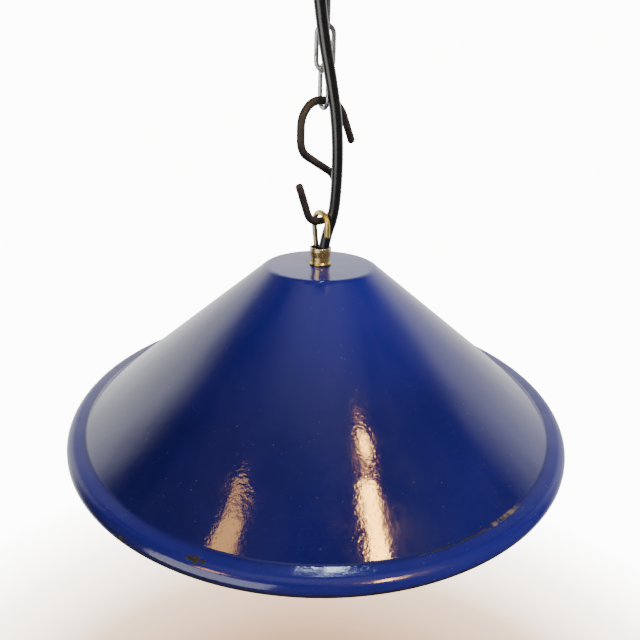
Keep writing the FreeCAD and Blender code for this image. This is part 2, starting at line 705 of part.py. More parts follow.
def make_holder(top):
    """The porcelain lampholder on the nipple: cap, body, contact base, screw shell and contacts."""
    thread = D.nipple_radius + D.thread_gap
    hollow = D.cap_radius - D.china_wall
    shoulder = -D.cap_height + 14
    cap = [
        (thread, 0),
        (D.cap_neck, 0),
        (D.cap_radius, shoulder),
        (D.cap_radius, -D.cap_height),
        (hollow, -D.cap_height),
        (hollow, shoulder + 1),
        (D.cap_neck - 3.5, -D.china_wall - 1.5),
        (thread, -D.china_wall - 1.5),
    ]
    bends = [(D.cap_radius, shoulder, 7), (D.cap_neck, 0, 1.5)]
    keep("holder_cap", place(lathe("holder_cap_body", cap, bends), z=top))

    body_top = top - D.cap_height
    seat = D.shell_bore + D.shell_wall + D.thread_gap
    floor = -D.base_height
    corners = [
        (hollow, 0),
        (D.cap_radius, 0),
        (D.cap_radius, -8),
        (D.cap_radius - 2.5, -12),
        (D.cap_radius - 2.5, -D.body_height),
        (seat, -D.body_height),
        (seat, floor),
        (hollow, floor),
    ]
    bends = [(D.cap_radius - 2.5, -D.body_height, 1.5)]
    keep("holder_body", place(lathe("holder_body_body", corners, bends), z=body_top))

    base_radius = hollow - D.thread_gap * 2
    base_low = body_top + floor
    base = cylinder(base_radius, D.base_height, z=base_low)
    way = cylinder(size(4.2), D.base_height * 3, z=base_low - D.base_height)
    keep("contact_base", cut(base, way))

    shell_top = base_low - D.shell_drop
    rings = [
        (D.shell_bore, 0),
        (D.shell_bore + D.shell_wall, 0),
        (D.shell_bore + D.shell_wall, -D.shell_height),
        (D.shell_bore, -D.shell_height),
    ]
    keep("screw_shell", place(lathe("screw_shell_body", rings), z=shell_top))

    leaf_top = base_low - D.tongue_drop
    root = D.tongue_reach - D.tongue_width / 2
    leaf_low = leaf_top - D.tongue_wall
    leaf = box(D.tongue_reach, D.tongue_width, D.tongue_wall, root - D.tongue_reach / 2, 0, leaf_low)
    dome = cylinder(size(2.4), size(1.0), z=leaf_low - 1)
    keep("centre_contact", fuse(leaf, dome))
    post = box(size(2.0), D.tongue_width, D.tongue_drop + D.tongue_wall, root + 1, 0, leaf_low)
    keep("contact_post", post)

    pillars = []
    screws = []
    for side in (-1, 1):
        spot = side * 10.5
        pillar = box(D.pillar_size, D.pillar_size, D.pillar_size + 2, spot, 0, body_top)
        wire_way = cylinder(
            D.core_radius + 0.2, D.pillar_size * 2, spot, -D.pillar_size, body_top + 3, (V(1, 0, 0), -90)
        )
        pillars.append(cut(pillar, wire_way))
        screws.append(cylinder(size(1.4), size(3.0), spot, 0, body_top + D.pillar_size + 2))
    keep("wire_terminals", fuse(*pillars))
    keep("wire_screws", fuse(*screws))
    return body_top


def make_cores(holder_top):
    """The flex's two insulated cores from the ferrule's mouth, down through the nipple to their terminals."""
    start = FLEX_ROUTE[0][2] - 0.8
    level = holder_top.value + 3
    for name, side in (("live_core", 1), ("neutral_core", -1)):
        points = [
            (0.6 + 1.2 * side, -0.5, start),
            (0.4 + 1.2 * side, -0.4, start - 14),
            (1.6 * side, -0.3, start - 30),
            (10.5 * side, -11.5, level),
            (10.5 * side, -1.5, level),
        ]
        tube_along(name, points, D.core_radius.value, [60, 6, 4])


make_bracket()
make_ceiling_hook()
make_canopy()
make_canopy_screws()
make_terminal_block()
for number in LINK_TURNS:
    make_link(number)
make_iron_hook()
make_brass_hook()
make_shade()
make_ferrule()
make_nipple()
holder_top = make_fastening()
terminal_level = make_holder(holder_top)
make_cores(terminal_level)
tube_along("flex", FLEX_ROUTE, D.cord_radius.value)

doc.recompute()
faults = [f"{thing.Name}: {thing.State}" for thing in doc.Objects if {"Invalid", "Error"} & set(thing.State)]
faults += [name for name, thing in nodes.items() if thing.Shape.isNull() or not thing.Shape.isValid()]
if faults:
    raise RuntimeError(f"failed objects: {faults}")

os.makedirs(PARTS, exist_ok=True)
for name, thing in nodes.items():
    thing.Shape.exportStep(os.path.join(PARTS, f"{name}.step"))
    bounds = thing.Shape.BoundBox
    print(f"{name}: {len(thing.Shape.Solids)} solid, z {bounds.ZMin:.1f} to {bounds.ZMax:.1f}")
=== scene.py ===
"""Cone pendant lamp in blue vitreous enamel, hung by a brass hook from an iron S-hook on a short zinc chain.

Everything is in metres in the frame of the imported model. Z = 0 is the ceiling, and the shade's axis is the
Z axis.
"""

import math

import bmesh
import bpy
from mathutils import Matrix, Vector


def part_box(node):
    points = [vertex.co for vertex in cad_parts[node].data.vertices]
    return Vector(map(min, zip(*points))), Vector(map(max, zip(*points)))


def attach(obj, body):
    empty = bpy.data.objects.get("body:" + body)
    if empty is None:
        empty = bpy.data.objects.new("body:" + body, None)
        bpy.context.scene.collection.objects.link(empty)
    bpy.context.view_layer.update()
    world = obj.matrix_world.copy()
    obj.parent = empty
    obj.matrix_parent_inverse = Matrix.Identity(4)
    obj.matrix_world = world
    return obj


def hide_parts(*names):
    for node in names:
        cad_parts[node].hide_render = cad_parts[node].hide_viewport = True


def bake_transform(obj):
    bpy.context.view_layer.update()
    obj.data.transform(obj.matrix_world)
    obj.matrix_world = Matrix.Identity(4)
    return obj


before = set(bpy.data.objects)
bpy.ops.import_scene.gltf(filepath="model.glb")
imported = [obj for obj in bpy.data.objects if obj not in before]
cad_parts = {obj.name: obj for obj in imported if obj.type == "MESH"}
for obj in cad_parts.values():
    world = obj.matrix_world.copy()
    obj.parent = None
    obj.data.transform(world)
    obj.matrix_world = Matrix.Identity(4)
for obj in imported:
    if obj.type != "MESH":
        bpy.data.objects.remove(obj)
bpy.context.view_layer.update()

# ---------------------------------------------------------------- sizes and places

SHADE_LOW, SHADE_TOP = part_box("shade")[0][2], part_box("shade")[1][2]
RIM_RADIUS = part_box("shade")[1][0]
FLAT_RADIUS, CREASE_RADIUS, CREASE_RISE = 0.0375, 0.1625, 0.007
SHEET = 0.0012
NIPPLE_HOLE = 0.0052

LINK_WIRE, LINK_LENGTH, LINK_WIDTH = 0.0029, 0.0272, 0.013
LINK_TURNS = {1: -62, 2: 0, 3: -75, 4: 15}

# The flex from inside the ferrule up to its grip in the canopy.
FLEX_ROUTE = [
    (0.0013, -0.0010, -0.2222),
    (0.0033, -0.0021, -0.2100),
    (0.0079, -0.0040, -0.1950),
    (0.0092, -0.0060, -0.1780),
    (0.0094, -0.0079, -0.1575),
    (0.0080, -0.0093, -0.1355),
    (0.0040, -0.0104, -0.1140),
    (-0.0002, -0.0110, -0.0950),
    (-0.0036, -0.0116, -0.0740),
    (-0.0061, -0.0130, -0.0530),
    (-0.0065, -0.0145, -0.0320),
    (-0.0065, -0.0145, -0.0142),
]
FLEX_RADIUS = 0.0036

# Chips in the brim's glass: where each is, and its reach.
CHIPS = [
    ((-0.0585, -0.1595, SHADE_LOW + 0.0070), 0.0026),
    ((-0.0545, -0.1612, SHADE_LOW + 0.0070), 0.0016),
    ((-0.0618, -0.1585, SHADE_LOW + 0.0070), 0.0018),
    ((-0.1010, -0.1430, SHADE_LOW + 0.002), 0.0024),
    ((0.1420, 0.1010, SHADE_LOW + 0.003), 0.0026),
    ((0.0330, 0.1700, SHADE_LOW + 0.003), 0.0020),
]
# The worn stretch of the crease: its dark line, and its rubbed patch of bare steel with painted glints, in
# radians from +Y towards +X.
WORN_LINE_TURN, RUBBED_GLINT_TURN = 2.62, 2.48


# ---------------------------------------------------------------- node trees


class Tree:
    """Adds nodes to a node tree by kind, and links whatever is given for their inputs."""

    def __init__(self, group, prefix):
        self.group, self.prefix = group, prefix

    def add(self, kind, settings=None, **inputs):
        name = kind if kind.startswith(("Function", "Shader", "Geometry", "Node")) else self.prefix + kind
        node = self.group.nodes.new(name)
        for key, value in (settings or {}).items():
            setattr(node, key, value)
        for key, value in inputs.items():
            self.feed(node, key.replace("_", " "), value)
        return node

    def feed(self, node, key, value):
        """An input by name, or by number where the name starts with 'in'."""
        socket = node.inputs[int(key[2:])] if key[:2] == "in" and key[2:].isdigit() else node.inputs[key]
        if isinstance(value, bpy.types.NodeSocket):
            self.group.links.new(value, socket)
        elif isinstance(value, bpy.types.Node):
            self.group.links.new(value.outputs[0], socket)
        else:
            socket.default_value = value

    def math(self, operation, *values, clamp=False):
        """A Math node."""
        node = self.add("ShaderNodeMath", {"operation": operation, "use_clamp": clamp})
        for number, value in enumerate(values):
            self.feed(node, f"in{number}", value)
        return node.outputs[0]


def geometry_tree(name, **sizes):
    """A Geometry Nodes group with a geometry input and one named input for each size."""
    group = bpy.data.node_groups.new(name, "GeometryNodeTree")
    group.interface.new_socket("Geometry", in_out="INPUT", socket_type="NodeSocketGeometry")
    for label, number in sizes.items():
        socket = group.interface.new_socket(label, in_out="INPUT", socket_type="NodeSocketFloat")
        socket.default_value = number
    group.interface.new_socket("Material", in_out="INPUT", socket_type="NodeSocketMaterial")
    group.interface.new_socket("Geometry", in_out="OUTPUT", socket_type="NodeSocketGeometry")
    tree = Tree(group, "GeometryNode")
    tree.start = tree.add("NodeGroupInput").outputs
    return tree


def close_tree(tree, shape):
    """Ends a tree in Realize Instances and Set Material."""
    solid = tree.add("RealizeInstances", Geometry=shape)
    painted = tree.add("SetMaterial", Geometry=solid, Material=tree.start["Material"])
    tree.feed(tree.add("NodeGroupOutput"), "Geometry", painted)
    return tree.group


def grow(name, group, material, points=((0, 0, 0),), closed=False, bends=None, **sizes):
    """Runs a tree on a line through points and returns the result as a plain mesh object at the origin."""
    line = bpy.data.meshes.new(name)
    count = len(points)
    edges = [(a, (a + 1) % count) for a in range(count if closed else count - 1)]
    line.from_pydata([Vector(p) for p in points], edges, [])
    if bends:
        radii = line.attributes.new("bend", "FLOAT", "POINT")
        for spot, radius in zip(radii.data, bends):
            spot.value = radius
    source = show(name, line)
    modifier = source.modifiers.new(name, "NODES")
    modifier.node_group = group
    for item in group.interface.items_tree:
        if item.in_out == "INPUT" and item.name in sizes:
            modifier[item.identifier] = sizes[item.name]
        if item.in_out == "INPUT" and item.name == "Material":
            modifier[item.identifier] = material
    bpy.context.view_layer.update()
    evaluated = source.evaluated_get(bpy.context.evaluated_depsgraph_get())
    mesh = bpy.data.meshes.new_from_object(evaluated)
    bpy.data.objects.remove(source)
    mesh.name = name
    return show(name, mesh)


def show(name, data):
    """A new object in the scene."""
    thing = bpy.data.objects.new(name, data)
    bpy.context.scene.collection.objects.link(thing)
    return thing


def tidy(thing, sharp=35):
    """Merges doubles, turns faces outwards, shades smooth and keeps edges over that angle sharp."""
    work = bmesh.new()
    work.from_mesh(thing.data)
    bmesh.ops.remove_doubles(work, verts=work.verts, dist=1e-6)
    bmesh.ops.recalc_face_normals(work, faces=work.faces)
    work.to_mesh(thing.data)
    work.free()
    thing.data.shade_smooth()
    thing.data.set_sharp_from_angle(angle=math.radians(sharp))
    return thing


# ---------------------------------------------------------------- finishes


def finish(name):
    """A new material, its tree, its Principled shader and its Object coordinates."""
    material = bpy.data.materials.new(name)
    material.use_nodes = True
    tree = Tree(material.node_tree, "ShaderNode")
    shader = next(node for node in material.node_tree.nodes if node.type == "BSDF_PRINCIPLED")
    place = tree.add("TexCoord").outputs["Object"]
    return material, tree, shader, place


def noise(tree, place, scale, detail=3.0, rough=0.5, warp=0.0):
    node = tree.add("TexNoise", Vector=place, Scale=scale, Detail=detail, Roughness=rough, Distortion=warp)
    return node.outputs["Fac"]


def ramp(tree, factor, *stops):
    """A colour ramp through (position, colour) stops."""
    node = tree.add("ValToRGB", Fac=factor)
    band = node.color_ramp
    while len(band.elements) < len(stops):
        band.elements.new(0.5)
    for element, (spot, colour) in zip(band.elements, stops):
        element.position = spot
        element.color = (*colour, 1)
    return node.outputs["Color"]


def step(tree, value, low, high, first=0.0, last=1.0):
    """A smooth change from first to last as value goes from low to high."""
    node = tree.add("MapRange", {"interpolation_type": "SMOOTHSTEP"})
    for number, setting in enumerate((value, low, high, first, last)):
        tree.feed(node, f"in{number}", setting)
    return node.outputs[0]


def mix(tree, factor, first, second):
    node = tree.add("Mix", {"data_type": "RGBA"})
    tree.feed(node, "in0", factor)
    for key, value in (("in6", first), ("in7", second)):
        tree.feed(node, key, value if isinstance(value, bpy.types.NodeSocket) else (*value, 1))
    return node.outputs[2]


def bump(tree, shader, height, distance, strength=1.0, under=None):
    node = tree.add("Bump", Height=height, Distance=distance, Strength=strength)
    if under:
        tree.feed(node, "Normal", under)
    tree.feed(shader, "Normal", node.outputs[0])
    return node.outputs[0]


def axes(tree, place):
    """X, Y and Z."""
    return tree.add("SeparateXYZ", Vector=place).outputs


def from_axis(tree, place):
    """The distance from the Z axis."""
    x, y, _ = axes(tree, place)
    return tree.math("SQRT", tree.math("ADD", tree.math("MULTIPLY", x, x), tree.math("MULTIPLY", y, y)))


def fed(shader, key):
    """What feeds an input of the shader so far."""
    return shader.inputs[key].links[0].from_socket


def near(tree, place, spot, reach, edge=0.3):
    """1 within reach of a spot, falling to 0 over a share of that reach."""
    away = tree.add("VectorMath", {"operation": "DISTANCE"}, in0=place, in1=spot).outputs["Value"]
    return step(tree, away, reach * (1 - edge), reach, 1.0, 0.0)


def blue_enamel():
    """Deep cobalt glass: orange peel, pinholes, scratches, chips, painted light on the shoulder, and bare
    steel with painted glints on the crease.
    """
    material, tree, shader, place = finish("blue_enamel")
    x, y, z = axes(tree, place)
    out = from_axis(tree, place)
    cloud = noise(tree, place, 9.0, 4.0, 0.55)
    deep = ramp(tree, cloud, (0.3, (0.0085, 0.0088, 0.098)), (0.7, (0.0145, 0.0135, 0.150)))
    # The glass is thinner and paler along the brim. The paler blue round the shoulder is painted light, the
    # top of the cone shown as lit more from above.
    brim = step(tree, out, CREASE_RADIUS - 0.001, CREASE_RADIUS + 0.004)
    shoulder_painted_light = step(tree, z, SHADE_TOP - 0.070, SHADE_TOP - 0.004, 0.0, 0.55)
    thin_brim_and_painted_light = tree.math("MAXIMUM", tree.math("MULTIPLY", brim, 0.45), shoulder_painted_light)
    paler = mix(tree, thin_brim_and_painted_light, deep, (0.024, 0.024, 0.31))

    # Pinholes and dust in the glass.
    specks = tree.add("TexVoronoi", Vector=place, Scale=260.0).outputs["Distance"]
    patch = step(tree, noise(tree, place, 30.0), 0.44, 0.66)
    hole = tree.math("MULTIPLY", step(tree, specks, 0.05, 0.10, 1.0, 0.0), patch)
    light_specks = tree.add("TexVoronoi", Vector=place, Scale=270.0, Randomness=1.0).outputs["Distance"]
    dusty_patch = step(tree, noise(tree, place, 23.0), 0.42, 0.62)
    dust = tree.math("MULTIPLY", step(tree, light_specks, 0.035, 0.07, 1.0, 0.0), dusty_patch)

    # Long hair scratches, mostly round the cone.
    bent = tree.add("VectorMath", {"operation": "MULTIPLY"}, in0=place, in1=(38.0, 38.0, 420.0)).outputs[0]
    lines = noise(tree, bent, 3.1, 2.0, 0.6, 0.4)
    thin = step(tree, tree.math("ABSOLUTE", tree.math("SUBTRACT", lines, 0.5)), 0.0, 0.0035, 1.0, 0.0)
    scratch = tree.math("MULTIPLY", thin, step(tree, noise(tree, place, 14.0), 0.50, 0.62))

    speckled = mix(tree, tree.math("MULTIPLY", hole, 0.8), paler, (0.004, 0.004, 0.006))
    dusty = mix(tree, tree.math("MULTIPLY", dust, 0.75), speckled, (0.30, 0.34, 0.50))
    hairy = mix(tree, tree.math("MULTIPLY", scratch, 0.35), dusty, (0.10, 0.12, 0.36))

    # Wear: bare steel along one stretch of the crease, with painted glints in its rubbed patch, small chips,
    # and the rim's cut edge.
    turn = tree.math("ARCTAN2", x, y)
    ragged = noise(tree, place, 160.0, 4.0, 0.7)
    from_crease = tree.math("ABSOLUTE", tree.math("SUBTRACT", out, CREASE_RADIUS + 0.0010))
    off_line = tree.math("ABSOLUTE", tree.math("SUBTRACT", turn, WORN_LINE_TURN))
    line_side = step(tree, off_line, 0.14, 0.26, 1.0, 0.0)
    off_patch = tree.math("ABSOLUTE", tree.math("SUBTRACT", turn, RUBBED_GLINT_TURN))
    patch_side = step(tree, off_patch, 0.05, 0.13, 1.0, 0.0)
    line = tree.math("MULTIPLY", step(tree, from_crease, 0.0003, 0.0009, 1.0, 0.0), line_side)
    rubbed = tree.math("MULTIPLY", step(tree, from_crease, 0.0008, 0.0019, 1.0, 0.0), patch_side)
    bare = tree.math("MULTIPLY", tree.math("MAXIMUM", line, rubbed), step(tree, ragged, 0.38, 0.50))
    chip = near(tree, place, *CHIPS[0])
    for spot, reach in CHIPS[1:]:
        chip = tree.math("MAXIMUM", chip, near(tree, place, spot, reach))
    torn = tree.math("MULTIPLY", tree.math("SUBTRACT", ragged, 0.5), 1.4)
    chip = step(tree, tree.math("ADD", chip, torn), 0.45, 0.6)
    low = tree.math("ADD", z, tree.math("MULTIPLY", ragged, 0.0016))
    edge = step(tree, low, SHADE_LOW + 0.0018, SHADE_LOW + 0.0029, 1.0, 0.0)
    gone = tree.math("MAXIMUM", chip, edge)
    rusted = ramp(tree, ragged, (0.40, (0.008, 0.006, 0.006)), (0.70, (0.055, 0.032, 0.016)))
    chipped = mix(tree, gone, hairy, rusted)
    # The pale grains of the rubbed patch are painted glints on its bare steel.
    oxide = noise(tree, place, 190.0, 4.0, 0.7)
    brown = ramp(tree, oxide, (0.44, (0.020, 0.014, 0.016)), (0.60, (0.24, 0.17, 0.14)))
    steel = mix(tree, rubbed, (0.008, 0.007, 0.010), brown)
    worn = mix(tree, tree.math("MULTIPLY", bare, 0.95), chipped, steel)
    tree.feed(shader, "Base Color", worn)

    rough = step(tree, noise(tree, place, 34.0, 4.0, 0.6, 0.5), 0.42, 0.66, 0.06, 0.12)
    for mask, more in ((scratch, 0.15), (brim, 0.07), (tree.math("MAXIMUM", gone, bare), 0.35)):
        rough = tree.math("ADD", rough, tree.math("MULTIPLY", mask, more), clamp=True)
    tree.feed(shader, "Roughness", rough)
    shader.inputs["IOR"].default_value = 1.54
    shader.inputs["Coat Weight"].default_value = 0.35
    shader.inputs["Coat Roughness"].default_value = 0.045

    # Slow waves in the spun steel, orange peel in the glass, and pits where it is gone.
    slow = bump(tree, shader, noise(tree, place, 18.0, 2.0, 0.5), 0.0008)
    waves = bump(tree, shader, noise(tree, place, 75.0, 2.0, 0.5), 0.00007, under=slow)
    peel = bump(tree, shader, noise(tree, place, 420.0, 2.0, 0.6), 0.00006, under=waves)
    pits = tree.math("SUBTRACT", 1.0, tree.math("ADD", gone, tree.math("MULTIPLY", hole, 0.6), clamp=True))
    bump(tree, shader, pits, 0.00022, under=peel)
    return material


def white_enamel():
    """The shade's inside: warm white glass with dark specks and a burnt ring round the lampholder."""
    material, tree, shader, place = finish("white_enamel")
    z, out = axes(tree, place)["Z"], from_axis(tree, place)
    tone = ramp(tree, noise(tree, place, 12.0, 4.0), (0.3, (0.78, 0.76, 0.69)), (0.7, (0.86, 0.85, 0.80)))
    burnt = tree.math("MULTIPLY", step(tree, out, 0.020, 0.075, 0.35, 0.0), noise(tree, place, 40.0))
    warm = mix(tree, burnt, tone, (0.42, 0.33, 0.20))
    specks = tree.add("TexVoronoi", Vector=place, Scale=120.0).outputs["Distance"]
    patch = step(tree, noise(tree, place, 18.0), 0.5, 0.65)
    dark = tree.math("MULTIPLY", step(tree, specks, 0.04, 0.08, 1.0, 0.0), patch)
    spotted = mix(tree, tree.math("MULTIPLY", dark, 0.8), warm, (0.05, 0.045, 0.05))
    ragged = noise(tree, place, 150.0, 4.0, 0.7)
    low = tree.math("ADD", z, tree.math("MULTIPLY", ragged, 0.002))
    edge = step(tree, low, SHADE_LOW + 0.0014, SHADE_LOW + 0.0026, 1.0, 0.0)
    edged = mix(tree, edge, spotted, (0.03, 0.02, 0.02))
    tree.feed(shader, "Base Color", edged)
    tree.feed(shader, "Roughness", step(tree, noise(tree, place, 60.0), 0.3, 0.7, 0.10, 0.22))
    shader.inputs["Coat Weight"].default_value = 0.4
    waves = bump(tree, shader, noise(tree, place, 17.0, 2.0), 0.001)
    bump(tree, shader, noise(tree, place, 300.0, 2.0), 0.00004, under=waves)
    return material


def worn_metal(name, bright, dull, dark, scale, shine, grime, metal=1.0):
    """Metal with three tones: bright where it rubs, dull between, and dark grime in patches."""
    material, tree, shader, place = finish(name)
    broad = noise(tree, place, 70.0 * scale, 5.0, 0.6, 0.5)
    fine = noise(tree, place, 420.0 * scale, 4.0, 0.65)
    tone = ramp(tree, broad, (0.34, bright), (0.66, dull))
    grain = tree.math("ADD", tree.math("MULTIPLY", fine, 0.45), tree.math("MULTIPLY", broad, 0.55))
    dirt = step(tree, grain, *grime)
    tree.feed(shader, "Base Color", mix(tree, dirt, tone, dark))
    rough = step(tree, fine, 0.3, 0.7, *shine)
    tree.feed(shader, "Roughness", tree.math("ADD", rough, tree.math("MULTIPLY", dirt, 0.28), clamp=True))
    shader.inputs["Metallic"].default_value = metal
    bump(tree, shader, tree.math("ADD", fine, tree.math("MULTIPLY", broad, 0.6)), 0.00005)
    return material, tree, shader, place


def brown_iron():
    """Hand-bent iron rod: brown oxide, rust blooms, an olive top bow, and a rub where the lamp hangs."""
    material, tree, shader, place = finish("brown_iron")
    z = axes(tree, place)["Z"]
    broad = noise(tree, place, 95.0, 5.0, 0.62, 0.6)
    fine = noise(tree, place, 650.0, 5.0, 0.7)
    skin = ramp(
        tree, broad,
        (0.30, (0.024, 0.019, 0.017)), (0.52, (0.046, 0.035, 0.030)), (0.72, (0.078, 0.057, 0.048)),
    )
    olive = mix(tree, step(tree, z, -0.150, -0.124, 0.0, 0.75), skin, (0.040, 0.034, 0.022))
    rust = tree.math("MULTIPLY", step(tree, fine, 0.52, 0.66), step(tree, broad, 0.44, 0.62))
    rusty = mix(tree, tree.math("MULTIPLY", rust, 0.3), olive, (0.11, 0.052, 0.030))
    rubbed = near(tree, place, (0, 0, -0.1992), 0.0055, 0.5)
    tree.feed(shader, "Base Color", mix(tree, tree.math("MULTIPLY", rubbed, 0.6), rusty, (0.22, 0.17, 0.14)))
    tree.feed(shader, "Roughness", step(tree, fine, 0.3, 0.7, 0.42, 0.72))
    shader.inputs["Metallic"].default_value = 0.2
    bump(tree, shader, tree.math("ADD", fine, tree.math("MULTIPLY", broad, 1.4)), 0.00016)
    return material


def zinc_wire():
    """Zinc-plated wire: bright zinc with grey bloom and dark soot in patches."""
    return worn_metal(
        "zinc_wire", (0.66, 0.67, 0.66), (0.46, 0.47, 0.47), (0.15, 0.145, 0.135),
        scale=1.2, shine=(0.28, 0.46), grime=(0.56, 0.74), metal=0.8,
    )[0]


def loop_brass():
    """The hook's brass: tarnished to steel grey down its shank, bright yellow on the bow and at the tip."""
    material, tree, shader, place = worn_metal(
        "loop_brass", (0.88, 0.66, 0.17), (0.68, 0.49, 0.12), (0.18, 0.115, 0.035),
        scale=1.0, shine=(0.24, 0.42), grime=(0.58, 0.76), metal=0.8,
    )
    _, y, z = axes(tree, place)
    shank = tree.math("MULTIPLY", step(tree, z, -0.2045, -0.1985, 1.0, 0.0), step(tree, y, -0.004, 0.001))
    tarnish = tree.math("MULTIPLY", shank, 0.8)
    tree.feed(shader, "Base Color", mix(tree, tarnish, fed(shader, "Base Color"), (0.20, 0.185, 0.165)))
    return material


def ferrule_brass():
    """Turned brass with fine rings, a pale bare lip and a dark line round its foot, painted shade where it
    meets the enamel.
    """
    material, tree, shader, place = worn_metal(
        "ferrule_brass", (0.86, 0.66, 0.20), (0.66, 0.48, 0.13), (0.22, 0.14, 0.04),
        scale=0.8, shine=(0.18, 0.34), grime=(0.64, 0.84), metal=0.85,
    )
    z = axes(tree, place)["Z"]
    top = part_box("ferrule")[1][2]
    lip = step(tree, z, top - 0.0011, top - 0.0006)
    pale = mix(tree, tree.math("MULTIPLY", lip, 0.85), fed(shader, "Base Color"), (0.80, 0.76, 0.66))
    # A dark band round the foot: painted shade where the ferrule stands on the enamel.
    painted_foot_shade = step(tree, z, SHADE_TOP + 0.0004, SHADE_TOP + 0.0013, 0.85, 0.0)
    tree.feed(shader, "Base Color", mix(tree, painted_foot_shade, pale, (0.03, 0.02, 0.012)))
    rings = tree.math("SINE", tree.math("MULTIPLY", z, 21000.0))
    bump(tree, shader, rings, 0.000004, under=fed(shader, "Normal"))
    return material


def glazed(name, light, dark, rough=(0.08, 0.2), specks=0.5):
    """Glazed porcelain or moulded plastic: a slight mottle, specks and a soft gloss."""
    material, tree, shader, place = finish(name)
    tone = ramp(tree, noise(tree, place, 55.0, 4.0), (0.3, dark), (0.7, light))
    spots = tree.add("TexVoronoi", Vector=place, Scale=420.0).outputs["Distance"]
    marks = step(tree, spots, 0.03, 0.08, specks, 0.0)
    tree.feed(shader, "Base Color", mix(tree, marks, tone, tuple(part * 0.35 for part in dark)))
    tree.feed(shader, "Roughness", step(tree, noise(tree, place, 120.0), 0.3, 0.7, *rough))
    bump(tree, shader, noise(tree, place, 240.0, 3.0), 0.00005)
    return material


def black_pvc():
    """The flex's sheath: glossy black PVC with faint ripples from the twisted cores, dust and scuffs."""
    material, tree, shader, place = finish("black_pvc")
    z = axes(tree, place)["Z"]
    dust = noise(tree, place, 260.0, 4.0, 0.6)
    scuff = step(tree, noise(tree, place, 60.0, 4.0), 0.5, 0.7)
    tone = ramp(tree, dust, (0.35, (0.0035, 0.0038, 0.004)), (0.75, (0.008, 0.0085, 0.0085)))
    scuffed = tree.math("MULTIPLY", scuff, 0.12)
    tree.feed(shader, "Base Color", mix(tree, scuffed, tone, (0.030, 0.031, 0.031)))
    tree.feed(shader, "Roughness", step(tree, dust, 0.3, 0.7, 0.26, 0.34))
    shader.inputs["Coat Weight"].default_value = 0.8
    shader.inputs["Coat Roughness"].default_value = 0.26
    ripple = tree.math("SINE", tree.math("MULTIPLY", z, 330.0))
    soft = bump(tree, shader, ripple, 0.00002)
    bump(tree, shader, dust, 0.000012, under=soft)
    return material


def black_paint():
    """Satin black paint on the canopy, with faint dust and slow waves."""
    material, tree, shader, place = finish("black_paint")
    dust = noise(tree, place, 180.0, 4.0, 0.6)
    tone = ramp(tree, dust, (0.3, (0.010, 0.010, 0.011)), (0.75, (0.026, 0.025, 0.024)))
    tree.feed(shader, "Base Color", tone)
    tree.feed(shader, "Roughness", step(tree, dust, 0.3, 0.7, 0.26, 0.42))
    waves = bump(tree, shader, noise(tree, place, 20.0, 2.0), 0.0005)
    bump(tree, shader, noise(tree, place, 900.0, 2.0), 0.00003, under=waves)
    return material


BLUE, WHITE = blue_enamel(), white_enamel()
IRON, ZINC, LOOP, FERRULE = brown_iron(), zinc_wire(), loop_brass(), ferrule_brass()
PVC, PAINT = black_pvc(), black_paint()
PORCELAIN = glazed("porcelain", (0.83, 0.82, 0.77), (0.74, 0.72, 0.65))
CREAM = glazed("cream_plastic", (0.80, 0.77, 0.68), (0.70, 0.66, 0.56), (0.30, 0.45), 0.2)
BROWN_CORE = glazed("brown_core", (0.16, 0.075, 0.035), (0.11, 0.05, 0.024), (0.25, 0.4), 0.1)
BLUE_CORE = glazed("blue_core", (0.06, 0.17, 0.50), (0.04, 0.11, 0.36), (0.25, 0.4), 0.1)
BRIGHT_BRASS = worn_metal(
    "bright_brass", (0.84, 0.64, 0.30), (0.66, 0.48, 0.20), (0.16, 0.10, 0.045),
    scale=1.0, shine=(0.12, 0.30), grime=(0.60, 0.80),
)[0]
STEEL = worn_metal(
    "zinc_steel", (0.66, 0.66, 0.64), (0.47, 0.47, 0.46), (0.14, 0.13, 0.12),
    scale=0.6, shine=(0.24, 0.42), grime=(0.56, 0.76),
)[0]


# ---------------------------------------------------------------- turned pieces


# The lathe sweeps a section round a ring of this radius, and the section is shifted inwards by as much.
HUB = 0.001


def lathe_tree():
    """Sweeps a closed section, drawn in X and Z, round the Z axis, with its corners rounded by 'bend'."""
    tree = geometry_tree("lathe", Hub=HUB)
    bend = tree.add("InputNamedAttribute", {"data_type": "FLOAT"}, Name="bend").outputs["Attribute"]
    outline = tree.add("MeshToCurve", Mesh=tree.start["Geometry"])
    rounded = tree.add("FilletCurve", {"mode": "POLY"}, Curve=outline, Count=9, Radius=bend)
    tree.feed(rounded, "Limit Radius", True)
    hub = tree.start["Hub"]
    shift = tree.add("ShaderNodeCombineXYZ", X=tree.math("MULTIPLY", hub, -1.0))
    flat = tree.add("Transform", Geometry=rounded, Translation=shift, Rotation=(math.pi / 2, 0, 0))
    ring = tree.add("CurvePrimitiveCircle", Resolution=288, Radius=hub)
    level = tree.add("SetCurveNormal", {"mode": "Z_UP"}, Curve=ring)
    return close_tree(tree, tree.add("CurveToMesh", Curve=level, Profile_Curve=flat))


LATHE = lathe_tree()


def turned(name, material, section):
    """A turned piece from (radius, height, bend) corners."""
    points = [(radius, 0, height) for radius, height, _ in section]
    bends = [bend for *_, bend in section]
    return tidy(grow(name, LATHE, material, points, closed=True, bends=bends, Hub=HUB))


def sheet_slope(rise, run):
    """How far the inner side of a bend from flat to slope sits in from the outer, for a wall of 1."""
    return math.tan(math.atan(rise / run) / 2)


